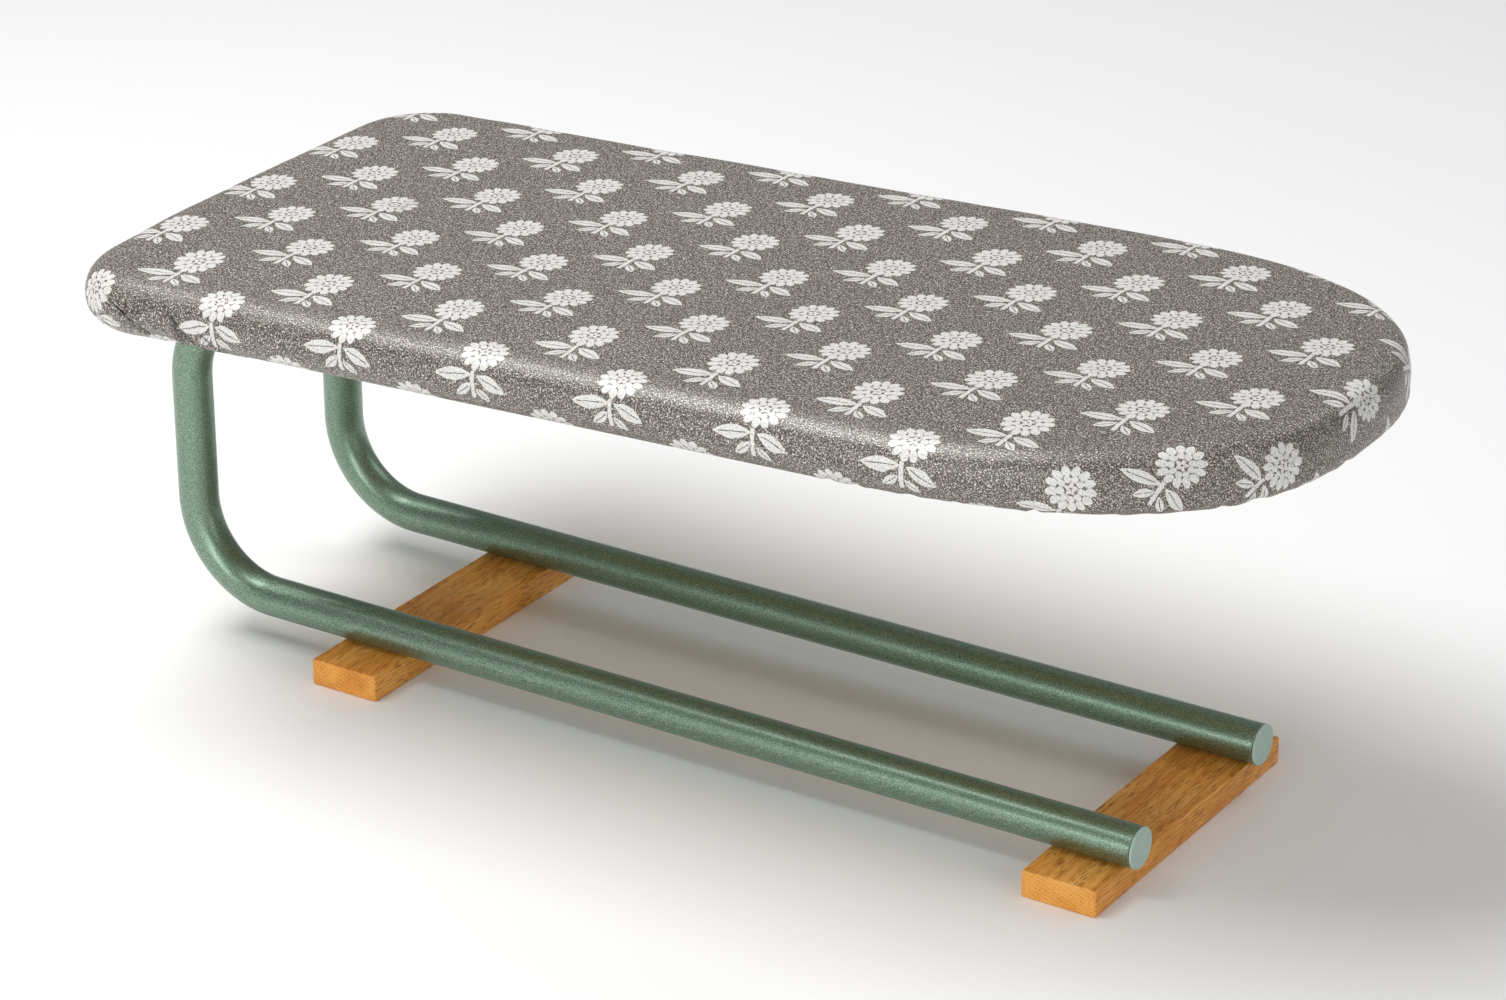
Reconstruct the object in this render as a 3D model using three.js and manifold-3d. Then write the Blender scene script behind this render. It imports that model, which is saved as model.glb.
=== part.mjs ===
// A table-top sleeve ironing board. A padded board with one rounded nose stands on two C-bent tubes,
// which rest on two wooden feet. Garments are pulled over the nose, through the gap between the board
// and the base. Units are millimetres, +Z is up and +X points towards the nose.

import * as THREE from 'three';
import { mergeVertices } from 'three/addons/utils/BufferGeometryUtils.js';
import Module from 'manifold-3d';

const wasm = await Module();
wasm.setup();

// ---------------------------------------------------------------- driving dimensions

const GAP = 0.3;                       // clearance between pieces that touch

const TUBE_RADIUS = 11;
const TUBE_WALL = 1.5;
const TUBE_HALF_SPACING = 65.6;        // from the middle plane to each tube's axis
const TUBE_BEND_RADIUS = 50.6;         // on the tube's axis
const TUBE_SIDES = 24;
const LOWER_LEG_END = 588.7;           // measured forward from the vertical legs
const UPPER_LEG_LENGTH = 450;          // along the board, from the vertical legs

const STRIP_WIDTH = 42.2;              // the feet and the battens share one section
const STRIP_THICKNESS = 15;
const STRIP_LENGTH = 197;
const STRIP_CHAMFER = 1.2;
const FOOT_REAR_AT = 121.3;            // each foot's middle, forward from the vertical legs
const FOOT_FRONT_AT = 562.1;
const BATTEN_REAR_AT = 121.3;
const BATTEN_FRONT_AT = 405;

const BOARD_PITCH = THREE.MathUtils.degToRad(2.4);   // the nose stands higher than the rear
const BOARD_MIDDLE_HEIGHT = 221.5;     // the rim's middle, above the vertical legs
const BOARD_REAR_AT = -18.7;
const BOARD_NOSE_AT = 674.9;
const BOARD_HALF_WIDTH = 156.5;
const BOARD_CORNER_RADIUS = 50;        // rear corners
const NOSE_LENGTH = 233;
const NOSE_EXPONENT = 2.62;            // a superellipse, squarer than a half circle
const BOARD_THICKNESS = 36;            // padded and covered, with a half-round rim

const COVER_THICKNESS = 0.9;
const COVER_TURN_UNDER = 40;           // how far the cover reaches in under the board
const PADDING_TURN_UNDER = 36;
const PANEL_THICKNESS = 12;
const PANEL_INSET = 15.5;              // from the covered rim to the panel's edge
const ELASTIC_WIDTH = 3;
const ELASTIC_THICKNESS = 2;

const CAP_FLANGE = 1.5;
const CAP_BARREL_LENGTH = 12;
const CAP_BARREL_WALL = 1.6;

const BOLT_RADIUS = 3;                 // M6, countersunk
const BOLT_HEAD_RADIUS = 6;
const BOLT_HEAD_HEIGHT = 3.2;
const BOLT_RECESS = 1;                 // how deep the head sits below the face
const SOCKET_RADIUS = 2.3;             // hexagon socket, across corners / 2
const SOCKET_DEPTH = 2.2;
const BOLT_SIDES = 14;
const INSERT_RADIUS = 4.5;
const INSERT_LENGTH = 9;
const INSERT_SETBACK = 1;              // how far inside the tube's outer face the insert starts

// ---------------------------------------------------------------- materials

const green = new THREE.MeshStandardMaterial({ color: 0x5d7a68, roughness: 0.35, metalness: 0.7 });
const capGrey = new THREE.MeshStandardMaterial({ color: 0x7d9490, roughness: 0.6, metalness: 0 });
const beech = new THREE.MeshStandardMaterial({ color: 0xcb8d4e, roughness: 0.5, metalness: 0 });
const plywood = new THREE.MeshStandardMaterial({ color: 0xd9bd8c, roughness: 0.7, metalness: 0 });
const felt = new THREE.MeshStandardMaterial({ color: 0xd8d6cf, roughness: 1, metalness: 0 });
const cloth = new THREE.MeshStandardMaterial({ color: 0x8c827a, roughness: 0.8, metalness: 0 });
const elasticWhite = new THREE.MeshStandardMaterial({ color: 0xe6e3dc, roughness: 0.9, metalness: 0 });
const zinc = new THREE.MeshStandardMaterial({ color: 0xb9bcbf, roughness: 0.3, metalness: 1 });

// ---------------------------------------------------------------- solids: joining and cutting

// A closed three.js geometry as a solid that can be cut.
function solidOf(geometry) {
  const plain = geometry.clone();
  plain.deleteAttribute('normal');
  plain.deleteAttribute('uv');
  const merged = mergeVertices(plain, 1e-4);
  const vertProperties = new Float32Array(merged.attributes.position.array);
  const triVerts = new Uint32Array(merged.index.array);
  return new wasm.Manifold(new wasm.Mesh({ numProp: 3, vertProperties, triVerts }));
}

// The solid's surface as a three.js geometry.
function geometryOf(solid) {
  const mesh = solid.getMesh();
  const geometry = new THREE.BufferGeometry();
  geometry.setAttribute('position', new THREE.BufferAttribute(new Float32Array(mesh.vertProperties), 3));
  geometry.setIndex(new THREE.BufferAttribute(new Uint32Array(mesh.triVerts), 1));
  geometry.computeVertexNormals();
  return geometry;
}

// One geometry with others cut out of it.
function cutAway(geometry, cutters) {
  let solid = solidOf(geometry);
  for (const cutter of cutters) {
    solid = solid.subtract(solidOf(cutter));
  }
  return geometryOf(solid);
}

function namedMesh(name, geometry, material) {
  const mesh = new THREE.Mesh(geometry, material);
  mesh.name = name;
  return mesh;
}

// ---------------------------------------------------------------- turned hardware

// A lathe turns about the Y axis: this stands it up along +Z.
function turned(profile, sides) {
  const points = profile.map(([radius, height]) => new THREE.Vector2(radius, height));
  return new THREE.LatheGeometry(points, sides).rotateX(Math.PI / 2);
}

// A plain round cutter along Z, from one height to another.
function roundCutter(radius, low, high, sides = BOLT_SIDES) {
  return new THREE.CylinderGeometry(radius, radius, high - low, sides)
    .rotateX(Math.PI / 2)
    .translate(0, 0, (low + high) / 2);
}

// Countersunk bolt: the head's flat face is at z = 0 and the shank runs up to z = length.
function boltGeometry(length) {
  const tip = BOLT_RADIUS * 0.25;
  const body = turned([
    [0, 0],
    [BOLT_HEAD_RADIUS, 0],
    [BOLT_HEAD_RADIUS, 0.5],
    [BOLT_RADIUS, BOLT_HEAD_HEIGHT],
    [BOLT_RADIUS, length - tip],
    [BOLT_RADIUS - tip, length],
    [0, length],
  ], BOLT_SIDES);
  const socket = roundCutter(SOCKET_RADIUS, -1, SOCKET_DEPTH, 6);
  return cutAway(body, [socket]);
}

// What a bolt takes out of the wood it passes through, from the same z = 0.
function boltHoleCutter(length) {
  const past = 2;
  return turned([
    [0, -BOLT_RECESS - past],
    [BOLT_HEAD_RADIUS + GAP, -BOLT_RECESS - past],
    [BOLT_HEAD_RADIUS + GAP, 0.5 + GAP],
    [BOLT_RADIUS + GAP, BOLT_HEAD_HEIGHT + GAP],
    [BOLT_RADIUS + GAP, length + past],
    [0, length + past],
  ], BOLT_SIDES);
}

// Threaded insert: a plain sleeve that is pressed into the tube's wall, from z = 0 upwards.
function insertGeometry() {
  const bore = BOLT_RADIUS + GAP;
  return turned([
    [bore, 0],
    [INSERT_RADIUS, 0],
    [INSERT_RADIUS, INSERT_LENGTH],
    [bore, INSERT_LENGTH],
    [bore, 0],
  ], BOLT_SIDES);
}

// ---------------------------------------------------------------- wooden strips

// A strip lying across the board, with its sole at z = 0.
function stripGeometry() {
  const half = STRIP_WIDTH / 2 - STRIP_CHAMFER;
  const outline = new THREE.Shape();
  outline.moveTo(-half, -STRIP_LENGTH / 2 + STRIP_CHAMFER);
  outline.lineTo(half, -STRIP_LENGTH / 2 + STRIP_CHAMFER);
  outline.lineTo(half, STRIP_LENGTH / 2 - STRIP_CHAMFER);
  outline.lineTo(-half, STRIP_LENGTH / 2 - STRIP_CHAMFER);
  outline.closePath();
  return new THREE.ExtrudeGeometry(outline, {
    depth: STRIP_THICKNESS - 2 * STRIP_CHAMFER,
    bevelEnabled: true,
    bevelThickness: STRIP_CHAMFER,
    bevelSize: STRIP_CHAMFER,
    bevelSegments: 1,
  }).translate(0, 0, STRIP_CHAMFER);
}

// ---------------------------------------------------------------- bent tubes

// The tube's axis: two straight legs, two bends and an upright. Stations lie close together in the
// bends and only at the ends of the straights.
class BentTubeAxis extends THREE.Curve {
  constructor() {
    super();
    const turn = Math.PI / 2;
    this.stations = [
      this.station(LOWER_LEG_END, LOWER_AXIS_HEIGHT, -1, 0),
      ...this.bend(TUBE_BEND_RADIUS, LOWER_AXIS_HEIGHT + TUBE_BEND_RADIUS, -turn, -2 * turn),
      ...this.bend(TUBE_BEND_RADIUS, UPPER_BEND_HEIGHT, 2 * turn, turn + BOARD_PITCH),
      this.upperEnd(),
    ];
  }

  station(x, z, alongX, alongZ) {
    return { point: new THREE.Vector3(x, 0, z), tangent: new THREE.Vector3(alongX, 0, alongZ) };
  }

  // An arc about (x, z), clockwise as seen with +X to the right and +Z up.
  bend(x, z, from, to) {
    const steps = 9;
    return Array.from({ length: steps + 1 }, (_, i) => {
      const angle = from + (to - from) * i / steps;
      const reach = TUBE_BEND_RADIUS;
      return this.station(x + reach * Math.cos(angle), z + reach * Math.sin(angle),
        Math.sin(angle), -Math.cos(angle));
    });
  }

  upperEnd() {
    const end = boardPoint(UPPER_LEG_LENGTH, UPPER_AXIS_DROP);
    return this.station(end.x, end.z, Math.cos(BOARD_PITCH), Math.sin(BOARD_PITCH));
  }

  stationAt(t) {
    return this.stations[Math.round(t * (this.stations.length - 1))];
  }

  getPoint(t) {
    return this.stationAt(t).point.clone();
  }

  getPointAt(t) {
    return this.getPoint(t);
  }

  getTangentAt(t) {
    return this.stationAt(t).tangent.clone();
  }
}

// A point of the pitched board: how far along it, and how far above its middle plane.
function boardPoint(along, above) {
  return new THREE.Vector3(
    along * Math.cos(BOARD_PITCH) - above * Math.sin(BOARD_PITCH),
    0,
    BOARD_MIDDLE_HEIGHT + along * Math.sin(BOARD_PITCH) + above * Math.cos(BOARD_PITCH),
  );
}

const LOWER_AXIS_HEIGHT = STRIP_THICKNESS + GAP + TUBE_RADIUS;
const UPPER_AXIS_DROP = -(GAP + STRIP_THICKNESS + GAP + TUBE_RADIUS);
// The upper bend touches the upright and the pitched leg, which fixes its centre's height.
const UPPER_BEND_HEIGHT = BOARD_MIDDLE_HEIGHT
  + (UPPER_AXIS_DROP - TUBE_BEND_RADIUS + TUBE_BEND_RADIUS * Math.sin(BOARD_PITCH)) / Math.cos(BOARD_PITCH);

function tubeGeometry() {
  const axis = new BentTubeAxis();
  const section = new THREE.Shape().absarc(0, 0, TUBE_RADIUS, 0, 2 * Math.PI);
  section.holes.push(new THREE.Path().absarc(0, 0, TUBE_RADIUS - TUBE_WALL, 0, 2 * Math.PI, true));
  return new THREE.ExtrudeGeometry(section, {
    curveSegments: TUBE_SIDES / 2,
    steps: axis.stations.length - 1,
    extrudePath: axis,
    bevelEnabled: false,
  });
}

// End cap: a flange over the tube's end, from z = 0 outwards, and a hollow barrel inside the tube.
function capGeometry() {
  const barrel = TUBE_RADIUS - TUBE_WALL - GAP;
  const edge = 0.4;
  return turned([
    [0, -GAP],
    [barrel - CAP_BARREL_WALL, -GAP],
    [barrel - CAP_BARREL_WALL, -CAP_BARREL_LENGTH],
    [barrel, -CAP_BARREL_LENGTH],
    [barrel, GAP],
    [TUBE_RADIUS, GAP],
    [TUBE_RADIUS, CAP_FLANGE - edge],
    [TUBE_RADIUS - edge, CAP_FLANGE],
    [0, CAP_FLANGE],
  ], TUBE_SIDES);
}

// ---------------------------------------------------------------- board outlines

// The board's outline seen from above, pulled in by inset: straight sides, a rounded rear and a
// superellipse nose.
function boardOutline(inset) {
  const rear = BOARD_REAR_AT + inset;
  const half = BOARD_HALF_WIDTH - inset;
  const corner = Math.max(BOARD_CORNER_RADIUS - inset, 4);
  const noseStart = BOARD_NOSE_AT - NOSE_LENGTH;
  const noseReach = NOSE_LENGTH - inset;
  const cornerSteps = 6;
  const noseSteps = 26;
  const points = [];
  for (let i = 0; i <= noseSteps; i += 1) {
    const angle = -Math.PI / 2 + Math.PI * i / noseSteps;
    const along = Math.max(Math.cos(angle), 0) ** (2 / NOSE_EXPONENT);
    const across = Math.sign(Math.sin(angle)) * Math.abs(Math.sin(angle)) ** (2 / NOSE_EXPONENT);
    points.push(new THREE.Vector2(noseStart + noseReach * along, half * across));
  }
  for (const side of [1, -1]) {
    for (let i = 0; i <= cornerSteps; i += 1) {
      const share = side > 0 ? i / cornerSteps : 1 - i / cornerSteps;
      const angle = Math.PI / 2 * (1 + share);
      const x = rear + corner + corner * Math.cos(angle);
      const y = half - corner + corner * Math.sin(angle);
      points.push(new THREE.Vector2(x, side * y));
    }
  }
  return new THREE.Shape(points);
}

// A flat plate with the board's outline, between two heights above the middle plane.
function plateGeometry(inset, low, high) {
  return new THREE.ExtrudeGeometry(boardOutline(inset), { depth: high - low, bevelEnabled: false })
    .translate(0, 0, low);
}

// A body with the board's outline and a half-round rim, whose skin lies `depth` below the cover's.
function roundedBoardGeometry(depth) {
  const rimRadius = BOARD_THICKNESS / 2 - RIM_FLAT / 2;
  return new THREE.ExtrudeGeometry(boardOutline(rimRadius), {
    depth: RIM_FLAT,
    bevelEnabled: true,
    bevelThickness: rimRadius - depth,
    bevelSize: rimRadius - depth,
    bevelSegments: 5,
  }).translate(0, 0, -RIM_FLAT / 2);
}

const RIM_FLAT = 1;

// ---------------------------------------------------------------- the board's layers

function coverGeometry() {
  const opening = plateGeometry(COVER_TURN_UNDER, -BOARD_THICKNESS, -RIM_FLAT);
  return cutAway(roundedBoardGeometry(0), [roundedBoardGeometry(COVER_THICKNESS), opening]);
}

function paddingGeometry() {
  const body = roundedBoardGeometry(COVER_THICKNESS + GAP);
  const panelSpace = plateGeometry(PANEL_INSET - GAP, -GAP, PANEL_THICKNESS + GAP);
  const opening = plateGeometry(PADDING_TURN_UNDER, -BOARD_THICKNESS, PANEL_THICKNESS / 2);
  return cutAway(body, [panelSpace, opening]);
}

function elasticGeometry() {
  const inset = COVER_TURN_UNDER + GAP;
  const loop = boardOutline(inset);
  loop.holes.push(boardOutline(inset + ELASTIC_THICKNESS));
  const height = ELASTIC_WIDTH;
  return new THREE.ExtrudeGeometry(loop, { depth: height, bevelEnabled: false })
    .translate(0, 0, -BOARD_THICKNESS / 2 + 1);
}

// ---------------------------------------------------------------- assembly

const board = new THREE.Group();
board.position.z = BOARD_MIDDLE_HEIGHT;
board.rotation.y = -BOARD_PITCH;

board.add(namedMesh('board_cover', coverGeometry(), cloth));
board.add(namedMesh('board_padding', paddingGeometry(), felt));
board.add(namedMesh('hem_elastic', elasticGeometry(), elasticWhite));

const base = new THREE.Group();
const sides = { left: TUBE_HALF_SPACING, right: -TUBE_HALF_SPACING };

// Bolts from below go up through a foot into the lower legs.
const footBoltLength = LOWER_AXIS_HEIGHT - BOLT_RECESS;
const footHoles = Object.values(sides).map((y) =>
  boltHoleCutter(footBoltLength).translate(0, y, BOLT_RECESS));
const footGeometry = cutAway(stripGeometry(), footHoles);
for (const [place, along] of Object.entries({ rear: FOOT_REAR_AT, front: FOOT_FRONT_AT })) {
  const foot = namedMesh(`foot_${place}`, footGeometry, beech);
  foot.position.x = along;
  base.add(foot);
  for (const [side, y] of Object.entries(sides)) {
    const bolt = namedMesh(`foot_bolt_${place}_${side}`, boltGeometry(footBoltLength), zinc);
    bolt.position.set(along, y, BOLT_RECESS);
    base.add(bolt);
    const insert = namedMesh(`lower_insert_${place}_${side}`, insertGeometry(), zinc);
    insert.position.set(along, y, LOWER_AXIS_HEIGHT - TUBE_RADIUS + INSERT_SETBACK);
    base.add(insert);
  }
}

// Bolts from the panel's top go down through a batten into the upper legs.
const battenTop = -GAP;
const panelBoltLength = PANEL_THICKNESS - BOLT_RECESS - UPPER_AXIS_DROP;
const downwards = (geometry) => geometry.rotateX(Math.PI);
const panelHoles = [];
for (const [place, along] of Object.entries({ rear: BATTEN_REAR_AT, front: BATTEN_FRONT_AT })) {
  const battenHoles = Object.values(sides).map((y) =>
    roundCutter(BOLT_RADIUS + GAP, -2, STRIP_THICKNESS + 2).translate(0, y, 0));
  const batten = namedMesh(`batten_${place}`, cutAway(stripGeometry(), battenHoles), beech);
  batten.rotation.x = Math.PI;
  batten.position.set(along, 0, battenTop);
  board.add(batten);
  for (const [side, y] of Object.entries(sides)) {
    const bolt = namedMesh(`panel_bolt_${place}_${side}`, downwards(boltGeometry(panelBoltLength)), zinc);
    bolt.position.set(along, y, PANEL_THICKNESS - BOLT_RECESS);
    board.add(bolt);
    const insert = namedMesh(`upper_insert_${place}_${side}`, downwards(insertGeometry()), zinc);
    insert.position.set(along, y, UPPER_AXIS_DROP + TUBE_RADIUS - INSERT_SETBACK);
    board.add(insert);
    const hole = downwards(boltHoleCutter(panelBoltLength));
    panelHoles.push(hole.translate(along, y, PANEL_THICKNESS - BOLT_RECESS));
  }
}
const panelGeometry = cutAway(plateGeometry(PANEL_INSET, 0, PANEL_THICKNESS), panelHoles);
board.add(namedMesh('board_panel', panelGeometry, plywood));

// Each tube is drilled from below for the feet and from above for the battens.
const pitchMatrix = new THREE.Matrix4().makeRotationY(-BOARD_PITCH);
const insertHole = INSERT_RADIUS + GAP;
const tubeHoles = [
  ...[FOOT_REAR_AT, FOOT_FRONT_AT].map((along) =>
    roundCutter(insertHole, LOWER_AXIS_HEIGHT - TUBE_RADIUS - 2, LOWER_AXIS_HEIGHT).translate(along, 0, 0)),
  ...[BATTEN_REAR_AT, BATTEN_FRONT_AT].map((along) =>
    roundCutter(insertHole, UPPER_AXIS_DROP, UPPER_AXIS_DROP + TUBE_RADIUS + 2)
      .translate(along, 0, 0)
      .applyMatrix4(pitchMatrix)
      .translate(0, 0, BOARD_MIDDLE_HEIGHT)),
];
const drilledTube = cutAway(tubeGeometry(), tubeHoles);
for (const [side, y] of Object.entries(sides)) {
  const tube = namedMesh(`frame_tube_${side}`, drilledTube, green);
  tube.position.y = y;
  base.add(tube);

  const lowerCap = namedMesh(`lower_cap_${side}`, capGeometry(), capGrey);
  lowerCap.position.set(LOWER_LEG_END, y, LOWER_AXIS_HEIGHT);
  lowerCap.rotation.y = Math.PI / 2;
  base.add(lowerCap);

  const upperCap = namedMesh(`upper_cap_${side}`, capGeometry(), capGrey);
  upperCap.position.set(UPPER_LEG_LENGTH, y, UPPER_AXIS_DROP);
  upperCap.rotation.y = Math.PI / 2;
  board.add(upperCap);
}

// The origin is under the middle of the whole object, on the surface it stands on.
const model = new THREE.Group();
model.add(base, board);
model.updateMatrixWorld(true);
const extent = new THREE.Box3().setFromObject(model, true);
model.position.x = -(extent.min.x + extent.max.x) / 2;

const sleeveBoard = new THREE.Group();
sleeveBoard.add(model);

export default sleeveBoard;
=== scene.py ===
"""A table-top sleeve ironing board: a padded board in a printed cover, on bent tubes and two feet.

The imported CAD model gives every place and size. This script adds the camera, the light and the fine
surface: the gathered cover with its print, the felt pad, the stitched hem, the enamelled tubes, the
oiled wood and the small hardware. Lengths are in metres, or in millimetres times MM.
"""

import math
import random
from bisect import bisect_right
from contextlib import contextmanager

import bmesh
import bpy
from mathutils import Matrix, Vector, noise


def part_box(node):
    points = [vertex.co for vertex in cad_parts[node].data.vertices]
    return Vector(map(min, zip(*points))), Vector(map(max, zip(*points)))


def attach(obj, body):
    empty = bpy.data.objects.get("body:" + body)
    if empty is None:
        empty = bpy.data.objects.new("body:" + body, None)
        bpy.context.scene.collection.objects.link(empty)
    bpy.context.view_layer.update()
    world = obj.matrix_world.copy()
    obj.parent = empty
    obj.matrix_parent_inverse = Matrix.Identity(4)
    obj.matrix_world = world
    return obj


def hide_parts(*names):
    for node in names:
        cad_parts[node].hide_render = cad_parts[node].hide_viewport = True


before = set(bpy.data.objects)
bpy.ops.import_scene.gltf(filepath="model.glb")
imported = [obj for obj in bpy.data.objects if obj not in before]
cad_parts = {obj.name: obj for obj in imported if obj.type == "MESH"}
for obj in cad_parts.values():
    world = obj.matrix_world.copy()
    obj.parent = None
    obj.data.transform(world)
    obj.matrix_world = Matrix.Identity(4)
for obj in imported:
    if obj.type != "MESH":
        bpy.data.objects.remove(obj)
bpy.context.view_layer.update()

MM = 0.001

# -------- sizes from the frame

tube_low, tube_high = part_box("frame_tube_left")
cover_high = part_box("board_cover")[1]
foot_low, foot_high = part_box("foot_front")
sole_bolt_low, sole_bolt_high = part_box("foot_bolt_front_left")

TUBE_RADIUS = (tube_high.y - tube_low.y) / 2
TUBE_Y = (tube_high.y + tube_low.y) / 2
UPRIGHT_X = tube_low.x + TUBE_RADIUS
LOWER_LEG_Z = tube_low.z + TUBE_RADIUS
LOWER_LEG_END_X = tube_high.x
SIDES = (("left", TUBE_Y), ("right", -TUBE_Y))
PLACES = ("rear", "front")
STRIP_THICKNESS = foot_high.z - foot_low.z

# The driving dimensions that the CAD model's boxes don't give on their own.
GAP = 0.3 * MM
BEND_RADIUS = 50.6 * MM
TUBE_WALL = 1.5 * MM
UPPER_LEG_LENGTH = 450 * MM
BOARD_PITCH = math.radians(2.4)
BOARD_MIDDLE_Z = 221.5 * MM
BOARD_REAR = -18.7 * MM
BOARD_NOSE = 674.9 * MM
BOARD_HALF_WIDTH = cover_high.y
CORNER_RADIUS = 50 * MM
NOSE_LENGTH = 233 * MM
NOSE_EXPONENT = 2.62
PANEL_THICKNESS = 12 * MM
PANEL_INSET = 15.5 * MM
RIM_RADIUS = 17.5 * MM
RIM_FLAT = 0.5 * MM
HALF_TURN = math.pi * RIM_RADIUS
UNDERSIDE = -RIM_RADIUS - RIM_FLAT
CLOTH_THICKNESS = 0.5 * MM
UPPER_LEG_ABOVE = -(2 * GAP + STRIP_THICKNESS + TUBE_RADIUS)

# The board's own frame: x along it from the uprights, z up from its middle plane.
BOARD_FRAME = Matrix.Translation((UPRIGHT_X, 0, BOARD_MIDDLE_Z)) @ Matrix.Rotation(-BOARD_PITCH, 4, "Y")


# -------- camera and light

def add_camera():
    """The camera, at the distance and angles of the photographed view."""
    azimuth = math.radians(32.89)
    elevation = math.radians(24.32)
    roll = math.radians(-0.27)
    place = (1.2165, -1.8923, 1.1431)
    focal_length = 112.97
    back = Vector((
        math.sin(azimuth) * math.cos(elevation),
        -math.cos(azimuth) * math.cos(elevation),
        math.sin(elevation),
    ))
    right = Vector((math.cos(azimuth), math.sin(azimuth), 0))
    up = back.cross(right)
    turned_right = right * math.cos(roll) + up * math.sin(roll)
    turned_up = up * math.cos(roll) - right * math.sin(roll)
    rotation = Matrix((turned_right, turned_up, back)).transposed().to_4x4()
    data = bpy.data.cameras.new("camera")
    data.sensor_width = 36
    data.lens = focal_length
    data.clip_end = 50
    camera = bpy.data.objects.new("camera", data)
    camera.matrix_world = Matrix.Translation(place) @ rotation
    bpy.context.scene.collection.objects.link(camera)
    bpy.context.scene.camera = camera


def add_area_light(name, place, target, size, power):
    """A rectangular soft box at a place, turned to a target; the power is in watts."""
    data = bpy.data.lights.new(name, "AREA")
    data.shape = "RECTANGLE"
    data.size, data.size_y = size
    data.energy = power
    light = bpy.data.objects.new(name, data)
    light.location = place
    light.rotation_euler = (Vector(target) - Vector(place)).to_track_quat("-Z", "Y").to_euler()
    bpy.context.scene.collection.objects.link(light)


def add_studio():
    """A pale floor under soft boxes, with a nearly white surround."""
    world = bpy.data.worlds.new("surround")
    world.use_nodes = True
    background = world.node_tree.nodes["Background"]
    background.inputs["Color"].default_value = (1, 1, 1, 1)
    background.inputs["Strength"].default_value = 0.27
    bpy.context.scene.world = world
    bpy.context.scene.view_settings.view_transform = "Standard"
    add_area_light("top_softbox", (-1.00, -0.36, 2.35), (0, 0, 0.2), (1.9, 1.1), 53)
    add_area_light("back_softbox", (0.9, 1.5, 2.0), (0.1, 0, 0.1), (1.6, 1.2), 9)
    add_area_light("front_softbox", (0.1, -2.2, 0.55), (0, 0, 0.1), (1.8, 0.5), 16)
    add_area_light("side_softbox", (1.9, -0.5, 0.7), (0.1, 0, 0.1), (1.0, 0.8), 4)

    half = 9.0
    corners = [(-half, -half, 0), (half, -half, 0), (half, half, 0), (-half, half, 0)]
    floor = object_from("floor", corners, [(0, 1, 2, 3)])
    graph = Graph("pale_floor")
    graph.set(Base_Color=(0.95, 0.95, 0.95), Roughness=0.85, Specular_IOR_Level=0.1)
    dress(floor, graph.material)


# -------- material graphs

class Value:
    """One number or colour in a material's node tree, which takes part in sums as a number would."""

    def __init__(self, graph, socket):
        self.graph = graph
        self.socket = socket

    def __add__(self, other):
        return self.graph.math("ADD", self, other)

    def __sub__(self, other):
        return self.graph.math("SUBTRACT", self, other)

    def __rsub__(self, other):
        return self.graph.math("SUBTRACT", other, self)

    def __mul__(self, other):
        return self.graph.math("MULTIPLY", self, other)

    def __truediv__(self, other):
        return self.graph.math("DIVIDE", self, other)

    def abs(self):
        return self.graph.math("ABSOLUTE", self)

    def squared(self):
        return self.graph.math("MULTIPLY", self, self)

    def sqrt(self):
        return self.graph.math("SQRT", self)


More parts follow.
